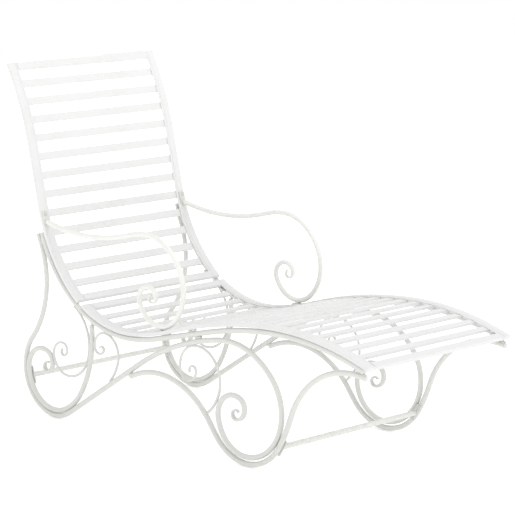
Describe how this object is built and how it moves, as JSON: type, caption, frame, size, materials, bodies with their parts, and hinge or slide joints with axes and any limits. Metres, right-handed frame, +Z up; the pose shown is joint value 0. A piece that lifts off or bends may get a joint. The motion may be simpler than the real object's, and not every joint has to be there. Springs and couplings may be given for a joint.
{
  "type": "daybed",
  "caption": "White welded steel outdoor daybed with a tall slatted back, an S-shaped slatted seat, scrolled armrests and scrolled tube side frames",
  "frame": {"origin": "on the floor, in the middle of the daybed's length and width", "axes": "+X from the head to the foot, +Z up, +Y to the left-hand side of a person lying on it"},
  "size_m": [1.5352, 0.606, 1.102],
  "materials": {
    "panel_paint": "satin powder coat, warm white",
    "frame_paint": "satin powder coat, warm white",
    "hardware": "painted dome-headed bolts, slightly greyer"
  },
  "bodies": {
    "root": {"back_slat_1": "panel_paint", "back_slat_2": "panel_paint", "back_slat_3": "panel_paint", "back_slat_4": "panel_paint", "back_slat_5": "panel_paint", "back_slat_6": "panel_paint", "back_slat_7": "panel_paint", "back_slat_8": "panel_paint", "back_slat_9": "panel_paint", "back_slat_10": "panel_paint", "back_slat_11": "panel_paint", "back_slat_12": "panel_paint", "seat_slat_1": "panel_paint", "seat_slat_2": "panel_paint", "seat_slat_3": "panel_paint", "seat_slat_4": "panel_paint", "seat_slat_5": "panel_paint", "seat_slat_6": "panel_paint", "seat_slat_7": "panel_paint", "seat_slat_8": "panel_paint", "seat_slat_9": "panel_paint", "seat_slat_10": "panel_paint", "seat_slat_11": "panel_paint", "seat_slat_12": "panel_paint", "seat_slat_13": "panel_paint", "seat_slat_14": "panel_paint", "seat_slat_15": "panel_paint", "seat_slat_16": "panel_paint", "seat_slat_17": "panel_paint", "seat_slat_18": "panel_paint", "seat_slat_19": "panel_paint", "seat_slat_20": "panel_paint", "seat_slat_21": "panel_paint", "back_side_bar_left": "panel_paint", "back_side_bar_right": "panel_paint", "back_top_bar": "panel_paint", "back_bottom_bar": "panel_paint", "seat_side_bar_left": "panel_paint", "seat_side_bar_right": "panel_paint", "seat_head_bar": "panel_paint", "seat_foot_bar": "panel_paint", "side_rail_left": "frame_paint", "side_rail_right": "frame_paint", "rear_leg_left": "frame_paint", "rear_leg_right": "frame_paint", "front_leg_left": "frame_paint", "front_leg_right": "frame_paint", "rear_loop_left": "frame_paint", "rear_loop_right": "frame_paint", "rear_scrolls": "frame_paint", "brace_scrolls": "frame_paint", "hump_scrolls": "frame_paint", "armrest_left": "frame_paint", "armrest_right": "frame_paint", "rear_crossbar": "frame_paint", "front_crossbar": "frame_paint", "crossbar_plates": "frame_paint", "arm_brackets": "frame_paint", "panel_mounts": "frame_paint", "bolts": "hardware"}
  },
  "joints": []
}
